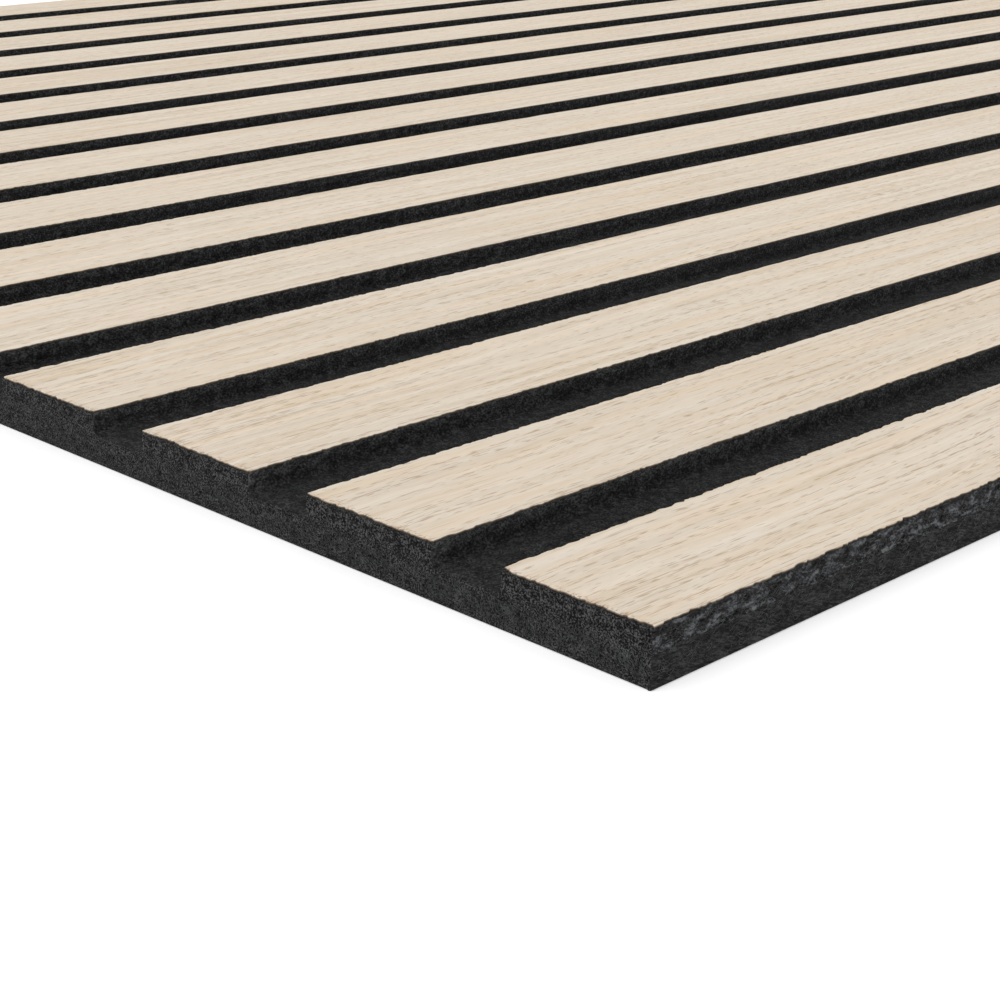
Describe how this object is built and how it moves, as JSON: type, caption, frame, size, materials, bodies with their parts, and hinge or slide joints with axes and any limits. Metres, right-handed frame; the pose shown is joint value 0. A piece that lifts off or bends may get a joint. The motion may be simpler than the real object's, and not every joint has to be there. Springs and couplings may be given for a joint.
{
  "type": "acoustic slat wall panel",
  "caption": "Flat sound-absorbing wall panel: a grooved black felt board whose raised slats are faced with thin light oak veneer.",
  "frame": {"origin": "middle of the flat back face, which lies on the ground", "axes": "+X across the slats, towards the long edge that ends in a slat; +Y along the slats; +Z out of the veneered face"},
  "size_m": [0.6, 2.4, 0.009],
  "materials": {
    "black_felt": "matt needled polyester felt, cut and milled",
    "oak_veneer": "matt, open-pored light oak veneer"
  },
  "bodies": {
    "root": {"felt_board": "black_felt", "veneer_strip_01": "oak_veneer", "veneer_strip_02": "oak_veneer", "veneer_strip_03": "oak_veneer", "veneer_strip_04": "oak_veneer", "veneer_strip_05": "oak_veneer", "veneer_strip_06": "oak_veneer", "veneer_strip_07": "oak_veneer", "veneer_strip_08": "oak_veneer", "veneer_strip_09": "oak_veneer", "veneer_strip_10": "oak_veneer", "veneer_strip_11": "oak_veneer", "veneer_strip_12": "oak_veneer", "veneer_strip_13": "oak_veneer", "veneer_strip_14": "oak_veneer", "veneer_strip_15": "oak_veneer"}
  },
  "joints": []
}
